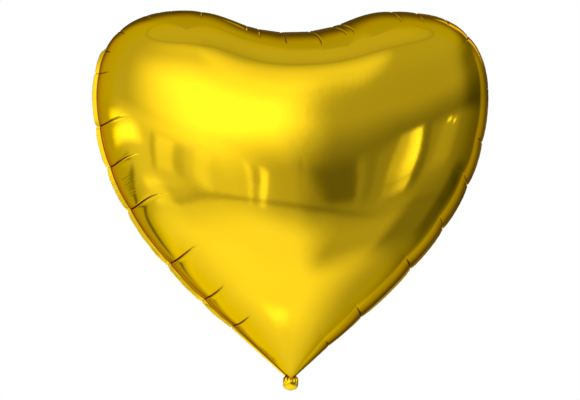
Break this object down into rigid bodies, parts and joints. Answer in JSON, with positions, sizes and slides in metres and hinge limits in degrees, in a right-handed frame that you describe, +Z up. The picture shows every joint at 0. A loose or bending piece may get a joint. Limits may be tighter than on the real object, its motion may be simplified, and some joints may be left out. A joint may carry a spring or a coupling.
{
  "type": "heart-shaped foil balloon",
  "caption": "Inflated heart-shaped foil party balloon: two heat-sealed metallised film panels with a narrow flange, a short filling tail at the point and a self-sealing valve inside.",
  "frame": {"origin": "middle of the neck, on the seam plane, where a ribbon is tied between the heart's point and the tail", "axes": "+Z up from the neck to the dip between the lobes, +X along the width, -Y out of the front panel"},
  "size_m": [0.377, 0.1852, 0.363],
  "materials": {
    "gold_film": "mirror-bright gold metallised film",
    "valve_film": "milky clear film"
  },
  "bodies": {
    "root": {"front_film_panel": "gold_film", "back_film_panel": "gold_film", "valve_front_ply": "valve_film", "valve_back_ply": "valve_film"}
  },
  "joints": []
}
